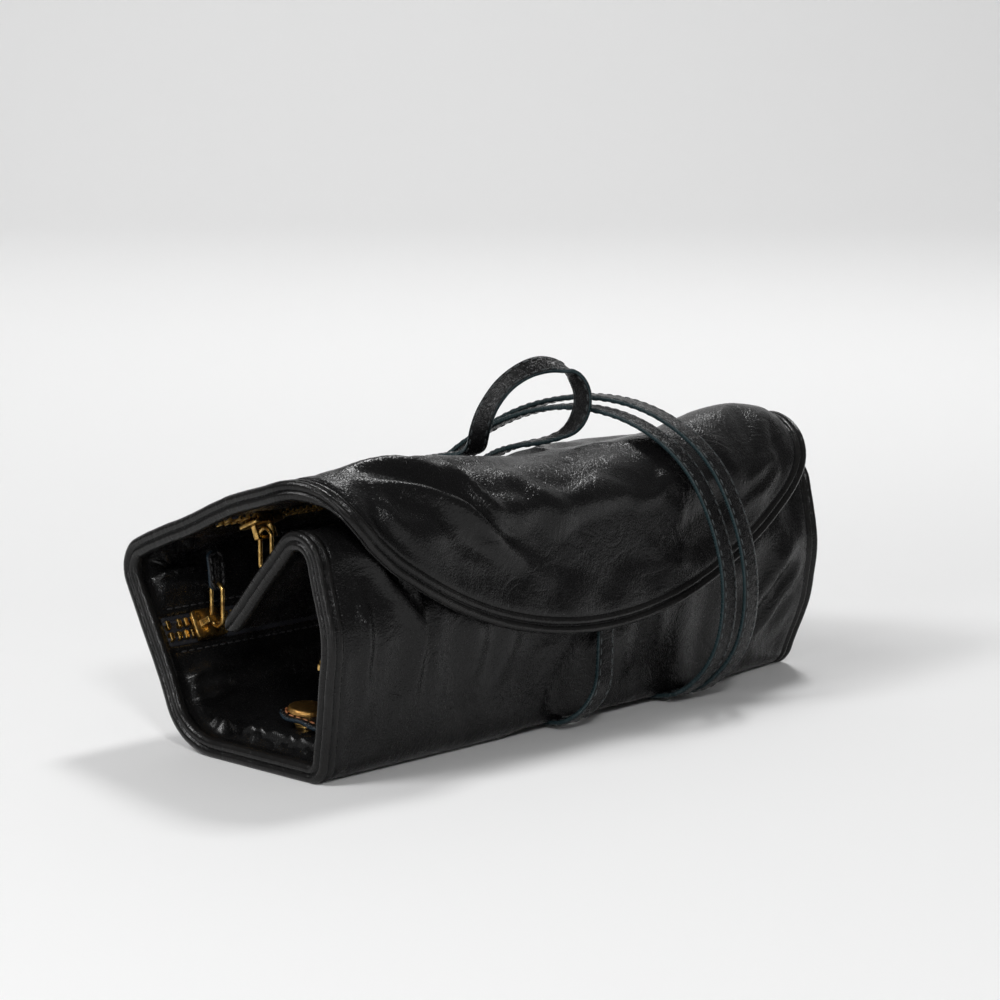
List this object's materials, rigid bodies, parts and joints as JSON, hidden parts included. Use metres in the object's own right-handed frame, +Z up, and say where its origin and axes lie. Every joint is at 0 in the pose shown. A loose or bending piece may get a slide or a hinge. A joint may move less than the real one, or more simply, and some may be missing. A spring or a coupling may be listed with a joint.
{
  "type": "brush roll case",
  "caption": "Padded leather brush roll case with a scalloped flap, zipped inner pockets, a snap tab and a wound leather lace; it unrolls flat.",
  "frame": {"origin": "on the standing surface, under the middle of the rolled case without its lace", "axes": "+X along the roll, away from the open near end; -Y to the front, where the flap hangs; +Z up"},
  "size_m": [0.22, 0.1239, 0.1076],
  "materials": {
    "leather": "semi-gloss black, fine grain",
    "piping": "semi-gloss black, smooth rolled edge",
    "lining": "soft satin black",
    "trim_leather": "semi-gloss black, stitched",
    "lace": "glossy black with blue-green cut edges",
    "padding": "soft felt",
    "zip_tape": "woven black",
    "brass": "aged, satin"
  },
  "bodies": {
    "bottom": {"bottom_outer": "leather", "bottom_padding": "padding", "bottom_lining": "lining", "bottom_piping": "piping", "bottom_pocket": "lining", "snap_stud": "brass", "lace_turns": "lace", "lace_loop": "lace"},
    "front": {"front_outer": "leather", "front_padding": "padding", "front_lining_upper": "lining", "front_lining_lower": "lining", "front_piping": "piping", "front_zip_tape": "zip_tape", "front_zip_teeth": "brass", "front_zip_stops": "brass"},
    "curl": {"curl_outer": "leather", "curl_padding": "padding", "curl_lining": "lining", "curl_piping": "piping", "curl_edge_piping": "piping"},
    "back": {"back_outer": "leather", "back_padding": "padding", "back_lining_lower": "lining", "back_lining_upper": "lining", "back_piping": "piping", "back_zip_tape": "zip_tape", "back_zip_teeth": "brass", "back_zip_stops": "brass"},
    "top": {"top_outer": "leather", "top_padding": "padding", "top_lining_back": "lining", "top_lining_front": "lining", "top_piping": "piping", "top_zip_tape": "zip_tape", "top_zip_teeth": "brass", "top_zip_stops": "brass"},
    "flap": {"flap_outer": "leather", "flap_lining": "lining", "flap_piping": "piping", "lace_patch": "lace"},
    "snap_tab": {"snap_tab": "trim_leather", "snap_cap": "brass", "snap_socket": "brass"},
    "top_slider": {"top_zip_slider": "brass"},
    "top_pull": {"top_zip_ring": "brass", "top_zip_pull": "trim_leather"},
    "back_slider": {"back_zip_slider": "brass"},
    "back_pull": {"back_zip_ring": "brass", "back_zip_pull": "trim_leather"},
    "front_slider": {"front_zip_slider": "brass"},
    "front_pull": {"front_zip_ring": "brass", "front_zip_pull": "trim_leather"}
  },
  "joints": [
    {"name": "unroll", "type": "hinge", "parent": "back", "child": "top", "pos_m": [0, 0.05137, 0.05553], "axis": [-1, 0, 0], "range_deg": [0, 93.86], "deforming": ["lace_turns", "lace_loop"]},
    {"name": "back_fold", "type": "hinge", "parent": "bottom", "child": "back", "pos_m": [0, 0.02345, 0.00042], "axis": [-1, 0, 0], "range_deg": [0, 62.7]},
    {"name": "flap_fold", "type": "hinge", "parent": "top", "child": "flap", "pos_m": [0, -0.0435, 0.0905], "axis": [-1, 0, 0], "range_deg": [0, 113.3]},
    {"name": "front_fold", "type": "hinge", "parent": "bottom", "child": "front", "pos_m": [0, -0.03801, 0.00033], "axis": [1, 0, 0], "range_deg": [0, 84]},
    {"name": "curl_fold", "type": "hinge", "parent": "front", "child": "curl", "pos_m": [0, -0.03234, 0.07493], "axis": [1, 0, 0], "range_deg": [0, 131.2]},
    {"name": "top_zip_slide", "type": "slide", "parent": "top", "child": "top_slider", "axis": [1, 0, 0], "range_m": [0, 0.184]},
    {"name": "top_pull_swing", "type": "hinge", "parent": "top_slider", "child": "top_pull", "pos_m": [-0.09, 0.00692, 0.06333], "axis": [1, 0, 0], "range_deg": [-5, 40]},
    {"name": "back_zip_slide", "type": "slide", "parent": "back", "child": "back_slider", "axis": [1, 0, 0], "range_m": [0, 0.182]},
    {"name": "back_pull_swing", "type": "hinge", "parent": "back_slider", "child": "back_pull", "pos_m": [-0.09, 0.0294, 0.03612], "axis": [1, 0, 0], "range_deg": [-20, 150]},
    {"name": "front_zip_slide", "type": "slide", "parent": "front", "child": "front_slider", "axis": [1, 0, 0], "range_m": [0, 0.19]},
    {"name": "front_pull_swing", "type": "hinge", "parent": "front_slider", "child": "front_pull", "pos_m": [-0.0997, -0.03012, 0.03205], "axis": [1, 0, 0], "range_deg": [0, 60]},
    {"name": "snap_tab_lift", "type": "hinge", "parent": "bottom", "child": "snap_tab", "pos_m": [0, -0.03126, 0.0093], "axis": [1, 0, 0], "range_deg": [0, 70]}
  ],
  "couplings": [
    {"joint": "back_fold", "follows": "unroll", "ratio": 0.66716},
    {"joint": "flap_fold", "follows": "unroll", "ratio": 1.2064},
    {"joint": "front_fold", "follows": "unroll", "ratio": 0.89367},
    {"joint": "curl_fold", "follows": "unroll", "ratio": 1.3963}
  ]
}
